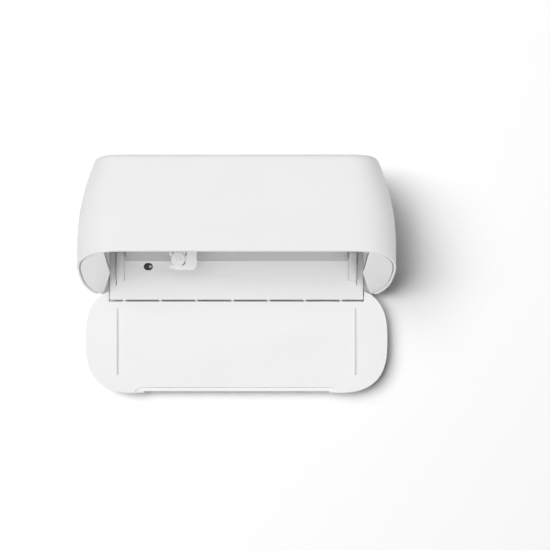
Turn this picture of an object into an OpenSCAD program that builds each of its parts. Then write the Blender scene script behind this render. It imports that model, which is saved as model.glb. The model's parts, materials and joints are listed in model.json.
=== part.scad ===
// Compact portable inkjet printer with a fold-down front flap.
// The flap is drawn open, the carriage left of the middle.
// Axes: X to the right, Y to the back, Z up. Origin on the table, in the middle of the footprint.

/* [Casing] */
// Width over the widest point of the casing
body_w = 297; // [285:1:320]
// Height of the casing without its feet
body_h = 93.2; // [91:0.2:100]
// Depth of the flat top, from the front edge to the back
top_d = 86; // [85:0.5:100]
// Slant of the front mouth from the horizontal
mouth_angle = 63.5; // [61:0.5:66]
// Width of the rounded end of the casing
cap_w = 51; // [48:0.5:54]
// Squareness of the rounded end, 2 is an ellipse
cap_n = 2.75; // [2.5:0.05:3]
// Radius of the long curve that narrows the casing to the back
bow_r = 188; // [180:1:260]
// Wall of the casing
wall = 2.2; // [1.8:0.1:2.4]
// Rounding of the back edges
back_round = 4; // [3:0.5:5]
// Height of the seam between the lower and the upper casing
seam_z = 22; // [21.6:0.2:24]
// Width of that seam
seam_gap = 0.2; // [0.1:0.05:0.4]
// Height of the rubber feet
foot_h = 2; // [1.5:0.5:4]
// Diameter of the rubber feet
foot_dia = 13; // [10:1:16]

/* [Flap] */
// Distance from the hinge axis to the middle of the flap
hinge_reach = 41.7; // [41:0.1:42.5]
// Height of the flap's inner face over the hinge axis
hinge_drop = 1.9; // [1.8:0.1:2]
// Gap between the closed flap and the mouth
flap_seal = 0.4; // [0.3:0.1:0.8]
// Distance from the hinge axis to the flap's edge
flap_edge = 3.8; // [3.7:0.1:4.2]
// Thickness of the inner panel
panel_t = 2.2; // [2:0.1:2.6]
// Depth of the flap in the middle, with its cover
flap_t = 9.2; // [8:0.2:11]
// Wall of the flap's cover
cover_wall = 2; // [1.6:0.1:2.4]
// Half width of the notch that clears the paper floor
notch_w = 125.3; // [125.1:0.1:126]
// Position of the two paper fins from the middle
fin_x = 117; // [114:0.5:118]
// Thickness of a paper fin
fin_t = 1.2; // [1:0.1:2]
// Height of a paper fin
fin_h = 1.3; // [0.8:0.1:3]
// Length of a paper fin
fin_len = 66; // [50:1:68]
// Depth of the finger recess in the near edge
grip_d = 5.6; // [4:0.2:8]
// Half width of the finger recess
grip_w = 100; // [60:1:110]
// Diameter of the hinge pins
pin_dia = 2.4; // [2:0.1:2.4]
// Length of a hinge pin
pin_len = 12; // [10:1:14]

/* [Mouth and floor] */
// Half width of the mouth between the cheeks
mouth_w = 118.6; // [118:0.2:120]
// Width of the groove around a cheek
cheek_groove = 0.8; // [0.5:0.1:1.2]
// Depth of a cheek behind the rim
cheek_sink = 0.7; // [0.4:0.1:1.5]
// Half width of the paper floor
floor_w = 124.3; // [123:0.1:124.6]
// Thickness of the paper floor
floor_t = 2; // [1.6:0.1:2.4]
// Depth of the paper floor from its front edge
floor_d = 38.4; // [36:0.2:39]
// Number of fingers that bridge the hinge gap
finger_count = 7; // [5:1:9]
// Pitch of those fingers
finger_pitch = 35.5; // [30:0.5:36]
// Width of one finger
finger_w = 2.4; // [2:0.2:4]
// Inner side of a guide rail from the middle
rail_in = 110; // [109:0.5:111]
// Width of a guide rail
rail_w = 7.4; // [5:0.2:7.4]
// Height of a guide rail over the floor
rail_h = 5.8; // [5:0.2:8]
// Length of the media sensor's opening
sensor_l = 8.8; // [7:0.2:10]
// Depth of the media sensor's opening
sensor_d = 6.9; // [5:0.1:8]

/* [Paper feed] */
// Height of the platen over the floor
platen_rise = 9.6; // [8:0.2:10]
// Radius of the feed roller
feed_r = 8; // [7.6:0.1:8.2]
// Diameter of the feed shaft
feed_shaft_dia = 6; // [5:0.5:7]
// Radius of the exit rollers
exit_r = 5.5; // [5:0.1:5.8]
// Diameter of the exit shaft
exit_shaft_dia = 5; // [4:0.5:6]
// Radius of the pinch rollers
pinch_r = 4; // [3.5:0.1:4.2]
// Radius of the star wheels
star_r = 4.6; // [4:0.1:4.8]
// Width of the rear paper slot
slot_w = 218; // [214:1:222]
// Height of the rear paper slot
slot_h = 7; // [6:0.5:8]

/* [Gears] */
// Tooth size, pitch diameter per tooth
gear_m = 0.6; // [0.55:0.01:0.6]
// Teeth of the feed gear
feed_teeth = 28; // [26:1:28]
// Teeth of the idler gear
idler_teeth = 30; // [28:1:30]
// Teeth of the exit gear
exit_teeth = 19; // [18:1:20]
// Teeth of the feed motor's pinion
pinion_teeth = 12; // [11:1:13]
// Width of the gears
gear_w = 4; // [3:0.5:4.5]
// Play added to each pair of gears
gear_play = 0.25; // [0.2:0.05:0.4]

/* [Carriage] */
// Place of the carriage across the printer
carriage_x = -50.2; // [-80:0.2:80]
// Width of the carriage
carriage_w = 36; // [34:0.5:38]
// Width of the nose on the front of the carriage
nose_w = 25.6; // [22:0.2:28]
// Height of the nose over the table
nose_z = 50; // [48:0.5:51]
// Diameter of the release knob on the nose
knob_dia = 13.5; // [10:0.5:16]
// Diameter of the guide rod
rod_dia = 8; // [6:0.5:9]
// Gap between the print head and the platen
head_gap = 2.5; // [2:0.1:3]
// Radius of the belt pulleys
pulley_r = 5; // [4:0.2:5.4]
// Height of the belt
belt_h = 5; // [4:0.5:6]
// Thickness of the belt
belt_t = 1.2; // [1:0.1:1.4]
// Radial play of everything that slides or turns
play = 0.05; // [0.03:0.01:0.08]

/* [Hidden] */
$fn = 48;
eps = 0.01;

// Casing
core_w = body_w / 2 - cap_w;
mid_z = foot_h + body_h / 2;
slant = body_h / 2 / sin(mouth_angle);
mouth_run = body_h / 2 / tan(mouth_angle);
along = [cos(mouth_angle), sin(mouth_angle)];
cheek_top = mid_z + body_h / 2 - wall - 4;
outward = [-sin(mouth_angle), cos(mouth_angle)];
axis_off = -hinge_reach * along + (hinge_drop + flap_seal) * outward;
mouth_y = (hinge_reach + slant - axis_off[0] - mouth_run - top_d) / 2;
back_y = mouth_y + mouth_run + top_d;
cover_y = back_y - 6;
plate_y = back_y - 1.6;
rear_screw_at = [[-104, 17], [104, 17], [-104, 80], [104, 80]];
base_screw_at = [[-96, 4], [96, 4], [-96, 80], [96, 80]];
top_front_y = mouth_y + mouth_run;
bow_y = top_front_y + 5;
floor_in_z = foot_h + wall;

// Hinge and flap
axis_y = mouth_y + axis_off[0];
axis_z = mid_z + axis_off[1];
flap_y = axis_y - hinge_reach;
floor_z = axis_z + hinge_drop;
fin_from = 6.2;
grip_slope = 8.5;
rest_angle = 180;

// Floor
floor_front = axis_y - 2.05;
floor_back = floor_front + floor_d;
finger_reach = 1.3;
finger_drop = 0.4;
group_x = -3.9;
skirt_t = 2;
pivot_block = 12;
slot_in = rail_in + rail_w + 0.3;
slot_out = slot_in + 1.3;
sensor_x = -86.8;
sensor_y = floor_back - 5.9;
strip_z = floor_z - floor_t;

// Paper feed
platen_z = floor_z + platen_rise;
feed_y = 66;
feed_z = platen_z - feed_r;
pinch_z = platen_z + pinch_r + 0.15;
exit_z = platen_z - exit_r;
feed_pitch = gear_m * feed_teeth / 2;
idler_pitch = gear_m * idler_teeth / 2;
exit_pitch = gear_m * exit_teeth / 2;
pinion_pitch = gear_m * pinion_teeth / 2;
idler_gap = feed_pitch + idler_pitch + gear_play;
exit_gap = idler_pitch + exit_pitch + gear_play;
pinion_gap = feed_pitch + pinion_pitch + gear_play;
idler_z = feed_z;
idler_y = feed_y - idler_gap;
exit_y = idler_y - sqrt(pow(exit_gap, 2) - pow(exit_z - idler_z, 2));
motor_y = feed_y + pinion_gap;
wing_back = exit_y - exit_pitch - 1.2;
gear_x = -116;
tyre_x = [-84, -42, 0, 42, 84];
tyre_l = 22;
exit_tyre_x = [-80, -28, 28, 80];
exit_tyre_l = 10;
platen_back = feed_y - feed_r - 1.5;
star_z = platen_z + star_r + 0.15;

// Carriage and its drive
head_z = platen_z + head_gap;
head_front = exit_y + exit_r + 1.4;
head_back = head_front + 14;
tub_z = head_z + 13.6;
tub_front = head_front - 3;
tub_back = tub_front + 41;
tub_top = 78;
rod_r = rod_dia / 2;
rod_y = tub_back + 8;
rod_z = 50;
nose_front = floor_back - 9.5;
knob_x = carriage_x - 4.6;
knob_y = nose_front + 10.4;
knob_t = 2.6;
frame_x = 130;
frame_t = 2;
belt_y = rod_y + 12;
belt_z = 56;
pulley_x = 118;
pulley_hub = 1.5;
motor_r = 6;
strip_y = tub_back + 5;
rail_z = 80;
rail_y = 60;
post_z = platen_z;
chassis_z = floor_in_z + 0.3;
chassis_top = chassis_z + 2;
frame_foot_y = [33, 76];
feed_phase = 0;
idler_phase = 90 + 180 / idler_teeth - (feed_phase + 90) * feed_teeth / idler_teeth;
pinion_phase = 270 + 180 / pinion_teeth - (feed_phase - 90) * feed_teeth / pinion_teeth;
exit_dir = atan2(exit_y - idler_y, idler_z - exit_z);
exit_phase = exit_dir + 180 + 180 / exit_teeth - (idler_phase - exit_dir) * idler_teeth / exit_teeth;

echo(axis_y = axis_y, axis_z = axis_z, back_y = back_y, mouth_y = mouth_y, floor_z = floor_z,
    exit_y = exit_y, exit_z = exit_z, idler_y = idler_y, motor_y = motor_y, feed_z = feed_z,
    platen_z = platen_z, rod_y = rod_y, belt_y = belt_y, head_front = head_front,
    nose_front = nose_front, knob_y = knob_y, tub_z = tub_z, head_z = head_z);

// ---- Outlines and lofts ----

// Rounded end: share of the cap's width at height share t of the outline
function squared(s) = sign(s) * pow(abs(s), 2 / cap_n);
// Half width of the casing at depth y
function half_w(y) =
    y < bow_y ? body_w / 2 : body_w / 2 - bow_r + sqrt(pow(bow_r, 2) - pow(y - bow_y, 2));
// Angles round one outline, right end then left end
turn = [for (a = [-90 : 7.5 : 90]) a];
round_trip = concat([for (a = turn) [1, a]], [for (a = turn) [-1, -a]]);
// Outline of the mouth and the flap in its own plane
function outline(inset) = [for (p = round_trip)
    [p[0] * (core_w + (cap_w - inset) * squared(cos(p[1]))), (slant - inset) * squared(sin(p[1]))]];
// The same outline where the inset is measured upright, as in the casing's walls
function mouth_outline(inset) = [for (p = round_trip)
    [p[0] * (core_w + (cap_w - inset) * squared(cos(p[1]))),
     (body_h / 2 - inset) / sin(mouth_angle) * squared(sin(p[1]))]];
// Section of the casing at depth y
function section(y, inset) = [for (p = round_trip)
    [p[0] * (core_w + (half_w(y) - inset - core_w) * squared(cos(p[1]))),
     mid_z + (body_h / 2 - inset) * squared(sin(p[1]))]];
// One ring of the loft, upright, or in the mouth's plane
function backwards(list) = [for (i = [len(list) - 1 : -1 : 0]) list[i]];
function ring(y, inset) = [for (p = backwards(section(y, inset))) [p[0], y, p[1]]];
function mouth_ring(out, inset) = [for (p = backwards(section(bow_y, inset)))
    [p[0], mouth_y + (p[1] - mid_z) / tan(mouth_angle) - out, p[1]]];

// Closed solid through a list of rings that have the same number of points
module loft(rings) {
    n = len(rings[0]);
    last = len(rings) - 1;
    polyhedron(
        points = [for (r = rings) for (p = r) p],
        faces = concat(
            [[for (i = [0 : n - 1]) i]],
            [for (k = [0 : last - 1]) for (i = [0 : n - 1])
                [k * n + i, (k + 1) * n + i, (k + 1) * n + (i + 1) % n]],
            [for (k = [0 : last - 1]) for (i = [0 : n - 1])
                [k * n + i, (k + 1) * n + (i + 1) % n, k * n + (i + 1) % n]],
            [[for (i = [n - 1 : -1 : 0]) last * n + i]]));
}

// Outer skin of the casing
module body_solid() {
    straight = back_y - back_round;
    loft(concat(
        [mouth_ring(0, 0)],
        [for (k = [0 : 6]) ring(bow_y + (straight - bow_y) * k / 6, 0)],
        [for (b = [30, 60, 90]) ring(straight + back_round * sin(b), back_round * (1 - cos(b)))]));
}
// Room inside it, open at the mouth, with a narrower opening at the back
module body_room() {
    inner = back_y - 6;
    loft(concat([mouth_ring(8, wall)], [for (k = [0 : 6]) ring(bow_y + (inner - bow_y) * k / 6, wall)]));
    loft([ring(inner - 1, back_round + 1.6), ring(back_y + 1, back_round + 1.6)]);
}
module casing() {
    difference() {
        body_solid();
        body_room();
    }
}
// Space that the heels of the flap sweep when it closes
module heel_sweep() {
    xs = [for (k = [0 : 6]) notch_w - 1 + k * 2.2];
    function reach(x) = let (c = (x - core_w) / cap_w)
        slant * pow(max(0, 1 - pow(min(1, c), cap_n)), 1 / cap_n) - hinge_reach;
    function sweep_r(x) = norm([max(1.2, reach(x)), 3.2]) + 0.7;
    for (side = [0, 1])
        mirror([side, 0, 0])
            translate([0, axis_y, axis_z]) rotate([0, 90, 0])
                rotate_extrude($fn = 64)
                    polygon(concat([[0, xs[0]]], [for (x = xs) [sweep_r(x), x]], [[0, xs[6]]]));
}
// Moves children into the mouth's plane, Y up the slant and Z outwards
module in_mouth() {
    translate([0, mouth_y, mid_z]) rotate([mouth_angle, 0, 0]) children();
}
// Moves children onto the open flap, Y to its near edge and Z out of its outer face
module on_flap() {
    translate([0, flap_y, floor_z]) rotate([rest_angle, 0, 0]) children();
}
module both_sides() {
    children();
    mirror([1, 0, 0]) children();
}
// Box from its lowest and highest corner
module block(a, b) {
    translate(a) cube(b - a);
}
// Cylinder along X from x0 to x1
module bar_x(x0, x1, y, z, r) {
    translate([x0, y, z]) rotate([0, 90, 0]) cylinder(r = r, h = x1 - x0);
}
// Straight-sided gear with a bore, flat on the XY plane
module gear(teeth, width, bore) {
    r = gear_m * teeth / 2;
    step = 360 / teeth;
    difference() {
        union() {
            cylinder(r = r - 0.66, h = width, $fn = 64);
            linear_extrude(width)
                for (k = [0 : teeth - 1])
                    rotate(k * step)
                        polygon([[r - 0.9, -0.5], [r - 0.05, -0.33], [r + 0.45, -0.14],
                            [r + 0.45, 0.14], [r - 0.05, 0.33], [r - 0.9, 0.5]]);
        }
        translate([0, 0, -1]) cylinder(r = bore, h = width + 2);
    }
}
module gear_x_axis(x, y, z, teeth, bore, phase) {
    translate([x, y, z]) rotate([0, 90, 0]) rotate(phase) gear(teeth, gear_w, bore);
}
// Pan-head screw pointing down, its seat at z = 0
module screw(shank_r, shank_l) {
    difference() {
        union() {
            cylinder(r = shank_r * 1.9, h = 1.4, $fn = 24);
            translate([0, 0, -shank_l]) cylinder(r = shank_r, h = shank_l + 1, $fn = 24);
        }
        translate([0, 0, 0.7]) cube([shank_r * 2, 0.6, 1.6], center = true);
        translate([0, 0, 0.7]) cube([0.6, shank_r * 2, 1.6], center = true);
    }
}

// ---- Casing ----
module base_shell() {
    color("whitesmoke") difference() {
        union() {
            intersection() {
                casing();
                block([-200, -200, 0], [200, 200, seam_z]);
            }
            for (side = [0, 1], y = frame_foot_y)
                mirror([side, 0, 0]) block([119, y - 4, floor_in_z + 2.2], [124, y + 4, post_z]);
            for (x = [-104, 104]) {
                screw_boss(x, rear_screw_at[0][1]);
                block([x - 1, cover_y - 12.1, floor_in_z - 1], [x + 1, cover_y - 2.1, rear_screw_at[0][1]]);
            }
        }
        heel_sweep();
        for (p = base_screw_at)
            translate([p[0], p[1], 0]) cylinder(r = 1.6, h = 20, $fn = 24);
        screw_bores();
    }
}
module top_shell() {
    color("whitesmoke") difference() {
        union() {
            intersection() {
                casing();
                block([-200, -200, seam_z + seam_gap], [200, 200, 200]);
            }
            for (x = [-104, 104]) {
                screw_boss(x, rear_screw_at[2][1]);
                block([x - 1, cover_y - 12.1, rear_screw_at[2][1]],
                    [x + 1, cover_y - 2.1, mid_z + body_h / 2 - 1]);
            }
        }
        screw_bores();
    }
}
// Boss for a rear screw
module screw_boss(x, z) {
    translate([x, cover_y - 2.1, z]) rotate([90, 0, 0]) cylinder(r = 3.2, h = 10);
}
module screw_bores() {
    for (p = rear_screw_at)
        translate([p[0], back_y, p[1]]) rotate([90, 0, 0]) cylinder(r = 1.45, h = 20, $fn = 24);
}
module rear_cover() {
    color("whitesmoke") difference() {
        union() {
            translate([0, plate_y, 0]) rotate([90, 0, 0])
                linear_extrude(plate_y - cover_y + 0.3) polygon(section(back_y, back_round + 1.9));
            translate([0, cover_y - 0.1, 0]) rotate([90, 0, 0])
                linear_extrude(2) polygon(section(cover_y, wall + 0.3));
        }
        translate([0, plate_y - wall, 0]) rotate([90, 0, 0])
            linear_extrude(12) polygon(section(back_y, back_round + 4));
        block([-slot_w / 2, cover_y - 4, platen_z + 7], [slot_w / 2, back_y + 1, platen_z + 7 + slot_h]);
        for (p = rear_screw_at)
            translate([p[0], back_y, p[1]]) rotate([90, 0, 0]) cylinder(r = 1.6, h = 20, $fn = 24);
        block([-pulley_x - motor_r - 1, cover_y - 4, 20], [-pulley_x + motor_r + 1, belt_y + motor_r + 0.4, 43]);
        block([74, cover_y - 4, 9.4], [84.4, back_y + 1, 20.4]);
        block([50, cover_y - 4, 9.4], [62.4, back_y + 1, 20.4]);
    }
}
module rear_screws() {
    color("silver") for (p = rear_screw_at)
        translate([p[0], plate_y, p[1]]) rotate([-90, 0, 0]) screw(1.4, 10);
}
module base_screws() {
    color("silver") for (p = base_screw_at)
        translate([p[0], p[1], foot_h]) rotate([180, 0, 0]) screw(1.4, 6);
}
module rubber_feet() {
    color("dimgray") for (x = [-82, 82], y = [-6, 92])
        translate([x, y, 0]) {
            cylinder(r1 = foot_dia / 2 - 0.5, r2 = foot_dia / 2, h = 0.6);
            translate([0, 0, 0.6]) cylinder(r = foot_dia / 2, h = foot_h - 0.6);
        }
}

// ---- Front ----
// Half of a cheek's outline: outer end of the mouth, cut back for the paper floor
module cheek_area(inset) {
    intersection() {
        polygon(mouth_outline(inset));
        union() {
            translate([mouth_w, 6]) square([60, 60]);
            polygon([[mouth_w, 6.1], [mouth_w, 5], [mouth_w + 9.6, -29], [mouth_w + 12.4, -38],
                [mouth_w + 12.4, -60], [200, -60], [200, 6.1]]);
        }
    }
}
module front_bezel() {
    color("gainsboro") difference() {
        union() {
            both_sides() {
                in_mouth() {
                    translate([0, 0, -cheek_sink - 1]) linear_extrude(1)
                        cheek_area(wall + cheek_groove);
                    translate([0, 0, -cheek_sink - 3]) linear_extrude(2 + eps)
                        cheek_area(wall + 1.9);
                    translate([0, 0, -cheek_sink - 10]) linear_extrude(8)
                        polygon([[mouth_w + 4.24, -10], [mouth_w + 9.6, -29], [mouth_w + 11.6, -36],
                            [mouth_w + 13.2, -35.5], [mouth_w + 11.3, -29], [mouth_w + 5.94, -10]]);
                }
                cheek_wall();
            }
            block([-mouth_w - 1, top_front_y + 1.5, 87], [mouth_w + 1, top_front_y + 3.5, cheek_top]);
            block([-102, top_front_y + 1.5, cheek_top - 1], [102, top_front_y + 3.5, cheek_top + 3.7]);
        }
        heel_sweep();
    }
}
// Inner wall of a cheek, from the mouth back to the cross bar
module cheek_wall() {
    z0 = 55.5;
    z1 = cheek_top;
    function face_y(z) = mouth_y + (z - mid_z) / tan(mouth_angle) + (cheek_sink + 1) / sin(mouth_angle);
    translate([mouth_w, 0, 0]) rotate([90, 0, 90]) linear_extrude(2)
        polygon([[face_y(z0), z0], [top_front_y + 3.5, z0], [top_front_y + 3.5, z1], [face_y(z1), z1]]);
}

// Hinge side is at -Y here, near edge at +Y, inner face at Z = 0
module flap_notch() {
    block([-notch_w, -slant - 5, -5], [notch_w, -hinge_reach + flap_edge, 20]);
}
module flap_panel() {
    color("white") on_flap() {
        difference() {
            union() {
                linear_extrude(panel_t) polygon(outline(0));
                both_sides() heel_boss();
            }
            flap_notch();
            grip_cut();
            both_sides() translate([0, -hinge_reach, hinge_drop]) rotate([0, 90, 0])
                cylinder(r = pin_dia / 2 + play, h = notch_w + pin_len / 2 + 0.2);
        }
        both_sides() paper_fin();
    }
}
// Boss under a heel, round the hinge pin
module heel_boss() {
    difference() {
        union() {
            translate([notch_w, -hinge_reach, hinge_drop]) rotate([0, 90, 0]) cylinder(r = 3.1, h = 8);
            block([notch_w, -hinge_reach - 3.1, eps], [notch_w + 8, -hinge_reach + 9, hinge_drop]);
        }
        block([notch_w - 1, -hinge_reach - 10, -5], [notch_w + 9, -hinge_reach + 10, eps]);
    }
}
module grip_cut() {
    translate([0, 0, -1]) linear_extrude(panel_t + 2) both_sides()
        polygon(concat([[-1, slant - grip_d], [-1, slant + 3], [grip_w + 3, slant + 3], [grip_w, slant + 0.2]],
            [for (a = [0 : 15 : 90])
                [grip_w - grip_slope * (1 - cos(a)), slant - grip_d * sin(a)]]));
}
module paper_fin() {
    y0 = -hinge_reach + flap_edge + fin_from;
    translate([fin_x + fin_t / 2, 0, 0]) rotate([0, -90, 0]) linear_extrude(fin_t)
        polygon([[0.5, y0], [0, y0], [-fin_h, y0 + 9], [-fin_h, y0 + fin_len - 0.5],
            [-fin_h + 0.5, y0 + fin_len], [0.5, y0 + fin_len]]);
}
// Outline of the cover at depth w, drawn in towards the middle
cover_steps = [[0, 0], [0, 0.14], [0.9, 0.36], [2.8, 0.56], [8, 0.78], [18, 0.93], [34, 1]];
module cover_form(grow, depth) {
    loft([for (s = cover_steps)
        [for (p = outline(s[0] + grow)) [p[0], p[1], depth * s[1]]]]);
}
module flap_cover() {
    rim = flap_t - panel_t;
    color("whitesmoke") on_flap() difference() {
        translate([0, 0, panel_t]) cover_form(0, rim);
        translate([0, 0, panel_t - eps]) intersection() {
            cover_form(cover_wall, rim - cover_wall);
            block([-170, -hinge_reach + flap_edge + cover_wall, -1], [170, slant, 20]);
        }
        flap_notch();
        block([-grip_w + grip_slope, slant - 1.4, panel_t - 1], [grip_w - grip_slope, slant + 1, flap_t]);
        both_sides() {
            block([notch_w - 1, -hinge_reach - 4.4, panel_t - 1], [notch_w + 8.4, -hinge_reach + 10, 6]);
            block([notch_w - 1, -hinge_reach - 20, panel_t - 1], [notch_w + 40, -hinge_reach - 4.4, 20]);
        }
    }
}
module hinge_pins() {
    color("silver") both_sides()
        bar_x(notch_w - pin_len / 2 - 0.5, notch_w + pin_len / 2 - 0.5, axis_y, axis_z, pin_dia / 2);
}
finger_at = [for (k = [0 : finger_count - 1]) group_x + (k - (finger_count - 1) / 2) * finger_pitch];
module paper_floor() {
    color("white") difference() {
        union() {
            block([-floor_w, floor_front, strip_z], [floor_w, floor_back, floor_z]);
            block([-floor_w + pivot_block, floor_front, chassis_top],
                [floor_w - pivot_block, floor_front + skirt_t, strip_z + eps]);
            both_sides()
                block([floor_w - pivot_block - 1, floor_front, 8.6], [floor_w, floor_front + 5, strip_z + eps]);
            both_sides()
                block([rail_in - 1.6, floor_back - 1, strip_z], [floor_w, wing_back, floor_z]);
            for (x = finger_at)
                block([x - finger_w / 2, floor_front - finger_reach, strip_z + 0.4],
                    [x + finger_w / 2, floor_front + 1, floor_z - finger_drop]);
        }
        both_sides() {
            block([slot_in, floor_front + 14.5, strip_z - 1], [slot_out - 0.6, floor_back - 2, floor_z + 1]);
            block([slot_in, floor_back - 3, strip_z - 1], [slot_out, wing_back - 1, floor_z + 1]);
        }
        translate([sensor_x, sensor_y, strip_z - 1]) sensor_hole(0.15, 5);
        both_sides() bar_x(floor_w - pin_len / 2 + 0.2, floor_w + 1, axis_y, axis_z, pin_dia / 2 + 0.01);
    }
}
// Long round hole of the media sensor
module sensor_hole(grow, h) {
    span = (sensor_l - sensor_d) / 2;
    linear_extrude(h) union() {
        for (x = [-span, span])
            translate([x, 0]) circle(r = sensor_d / 2 + grow, $fn = 40);
        square([span * 2, sensor_d + grow * 2], center = true);
    }
}
module guide_rail(side) {
    x0 = side * (rail_in + rail_w / 2);
    y0 = floor_front + 18.4;
    y1 = wing_back;
    difference() {
        union() {
            block([x0 - rail_w / 2, y0, floor_z], [x0 + rail_w / 2, floor_back, floor_z + rail_h]);
            block([x0 - rail_w / 2, floor_back - 1, floor_z + 4], [x0 + rail_w / 2, y1, floor_z + rail_h]);
        }
        translate([x0, y0, floor_z + rail_h]) rotate([45, 0, 0]) cube([rail_w + 2, 2, 2], center = true);
    }
}
module rail_left() {
    color("white") guide_rail(-1);
}
module rail_right() {
    color("white") guide_rail(1);
}
module sensor_housing() {
    color("black") translate([sensor_x, sensor_y, 0]) difference() {
        union() {
            translate([0, 0, strip_z - 3]) sensor_hole(0, floor_t + 1.6);
            block([-6, -4.6, chassis_top], [6, 4.6, strip_z]);
        }
        translate([2, 0, strip_z - 2]) cylinder(r = 1.4, h = 10, $fn = 24);
    }
}
module sensor_lens() {
    color("lightgray") translate([sensor_x + 2, sensor_y, strip_z - 2])
        cylinder(r = 1.4, h = 2.8, $fn = 24);
}

// ---- Frame ----
rib_x = [-100, -60, -20, 20, 60, 100];
module platen() {
    y0 = floor_back + 0.15;
    flat = exit_y - exit_r - 0.6;
    function ramp_at(d) = floor_z + (platen_z - floor_z) * d / (flat - y0);
    color("white") difference() {
        union() {
            translate([-106, 0, 0]) rotate([90, 0, 90]) linear_extrude(212)
                polygon([[y0, floor_z - floor_t], [y0, floor_z], [flat, platen_z], [platen_back, platen_z],
                    [platen_back, platen_z - 2], [flat + 1, platen_z - 2], [y0 + 2.6, floor_z - floor_t]]);
            translate([-rail_in + 1.8, 0, 0]) rotate([90, 0, 90]) linear_extrude(rail_in * 2 - 3.6)
                polygon([[y0, floor_z - floor_t], [y0, floor_z], [y0 + 9, ramp_at(9)], [y0 + 9, ramp_at(9) - 2],
                    [y0 + 2.6, floor_z - floor_t]]);
            for (x = [-96 : 16 : 96])
                block([x - 0.6, head_front - 0.5, platen_z - eps], [x + 0.6, platen_back - 1, platen_z + 0.6]);
        }
        for (x = exit_tyre_x)
            block([x - exit_tyre_l / 2 - 1, exit_y - exit_r - 0.5, platen_z - 4],
                [x + exit_tyre_l / 2 + 1, exit_y + exit_r + 0.5, platen_z + 2]);
    }
}
module chassis() {
    z0 = chassis_z;
    color("darkgray") difference() {
        union() {
            block([-108, floor_front + 4, z0], [108, 70, z0 + 2]);
            block([-102, 69, z0], [102, back_y - 12, z0 + 2]);
            block([100, 39, 6], [117, 56, 8]);
            for (x = rib_x) {
                block([x - 1, floor_front + 4, z0 + 2 - eps], [x + 1, floor_back - 2, strip_z]);
                block([x - 1, head_front - 1, z0 + 2 - eps], [x + 1, platen_back - 2, platen_z - 2]);
            }
            both_sides() {
                block([106, exit_y - 4, z0 + 1], [110, exit_y + 4, post_z]);
                block([106, feed_y - 5, z0 + 1], [110, feed_y + 5, post_z]);
            }
            block([-110, idler_y - 3, z0 + 1], [-106, idler_y + 3, idler_z + 3]);
            bar_x(-117, -108, idler_y, idler_z, 1.5);
            block([-108, motor_y - 5, z0 + 1], [-99, motor_y + 5, 11]);
        }
        bar_x(-112, 112, exit_y, exit_z, exit_shaft_dia / 2 + play);
        bar_x(-112, 112, feed_y, feed_z, feed_shaft_dia / 2 + play);
        bar_x(-112, -95, motor_y, feed_z, 7.05);
        for (p = base_screw_at)
            translate([p[0], p[1], 0]) cylinder(r = 1.45, h = 20, $fn = 24);
    }
}
module frame_plate() {
    rotate([90, 0, 90]) linear_extrude(frame_t) difference() {
        polygon([[30, post_z], [84, post_z], [rod_y + 9, 29], [rod_y + 9, 68], [84, 77], [78, rail_z],
            [32, rail_z], [30, 70]]);
        translate([rod_y, rod_z]) circle(r = rod_r);
        for (y = [40, 56])
            translate([y, 52]) circle(r = 5.5);
    }
}
module side_frame_left() {
    color("silver") {
        translate([-frame_x - frame_t, 0, 0]) frame_plate();
        frame_flanges(-1);
    }
}
module side_frame_right() {
    color("silver") {
        translate([frame_x, 0, 0]) frame_plate();
        frame_flanges(1);
    }
}
module frame_flanges(side) {
    for (y = frame_foot_y)
        translate([side * (frame_x - 5), y, post_z + 0.6]) cube([12, 6, 1.2], center = true);
}
module upper_rail() {
    color("silver") {
        block([-frame_x - frame_t, rail_y, rail_z], [frame_x + frame_t, rail_y + 15, rail_z + 1.2]);
        block([-frame_x, rail_y, rail_z - 6], [frame_x, rail_y + 1.4, rail_z + eps]);
    }
}
module guide_rod() {
    color("silver") bar_x(-frame_x - frame_t, frame_x + frame_t, rod_y, rod_z, rod_r);
}

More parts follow.
